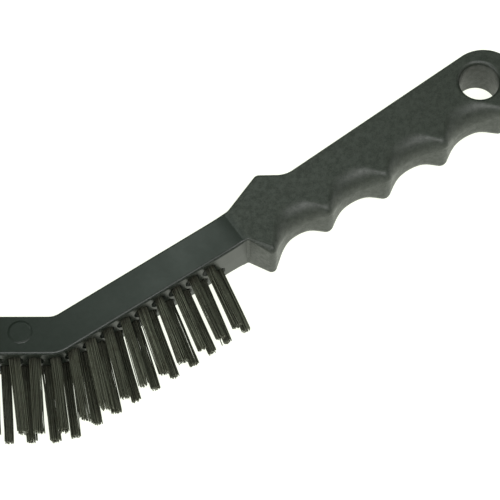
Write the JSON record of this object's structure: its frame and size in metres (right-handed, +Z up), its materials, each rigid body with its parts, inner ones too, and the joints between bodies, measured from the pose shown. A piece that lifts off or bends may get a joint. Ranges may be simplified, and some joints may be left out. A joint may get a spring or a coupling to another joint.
{
  "type": "wire brush",
  "caption": "Hand wire brush for cleaning welds and rust: staggered steel wire tufts in a slim plastic head with an upswept nose, a guard, a finger-grooved grip and a hang hole.",
  "frame": {"origin": "middle of the grip's lower side face, the face the brush lies on", "axes": "+X along the brush towards the handle end, +Y from the bristles towards the back of the brush, +Z up, across the brush's thickness"},
  "size_m": [0.2294, 0.0547, 0.0178],
  "materials": {
    "body": "charcoal moulded polypropylene, satin head and finely grained grip",
    "wire": "dull drawn steel wire",
    "anchor": "zinc-plated steel strip"
  },
  "bodies": {
    "root": {"brush_body": "body", "far_anchor_01": "anchor", "far_anchor_02": "anchor", "far_anchor_03": "anchor", "far_anchor_04": "anchor", "far_anchor_05": "anchor", "far_anchor_06": "anchor", "far_anchor_07": "anchor", "far_anchor_08": "anchor", "far_anchor_09": "anchor", "far_anchor_10": "anchor", "far_anchor_11": "anchor", "far_anchor_12": "anchor", "far_anchor_13": "anchor", "far_anchor_14": "anchor", "far_anchor_15": "anchor", "far_tuft_01": "wire", "far_tuft_02": "wire", "far_tuft_03": "wire", "far_tuft_04": "wire", "far_tuft_05": "wire", "far_tuft_06": "wire", "far_tuft_07": "wire", "far_tuft_08": "wire", "far_tuft_09": "wire", "far_tuft_10": "wire", "far_tuft_11": "wire", "far_tuft_12": "wire", "far_tuft_13": "wire", "far_tuft_14": "wire", "far_tuft_15": "wire", "near_anchor_01": "anchor", "near_anchor_02": "anchor", "near_anchor_03": "anchor", "near_anchor_04": "anchor", "near_anchor_05": "anchor", "near_anchor_06": "anchor", "near_anchor_07": "anchor", "near_anchor_08": "anchor", "near_anchor_09": "anchor", "near_anchor_10": "anchor", "near_anchor_11": "anchor", "near_anchor_12": "anchor", "near_anchor_13": "anchor", "near_anchor_14": "anchor", "near_tuft_01": "wire", "near_tuft_02": "wire", "near_tuft_03": "wire", "near_tuft_04": "wire", "near_tuft_05": "wire", "near_tuft_06": "wire", "near_tuft_07": "wire", "near_tuft_08": "wire", "near_tuft_09": "wire", "near_tuft_10": "wire", "near_tuft_11": "wire", "near_tuft_12": "wire", "near_tuft_13": "wire", "near_tuft_14": "wire"}
  },
  "joints": []
}
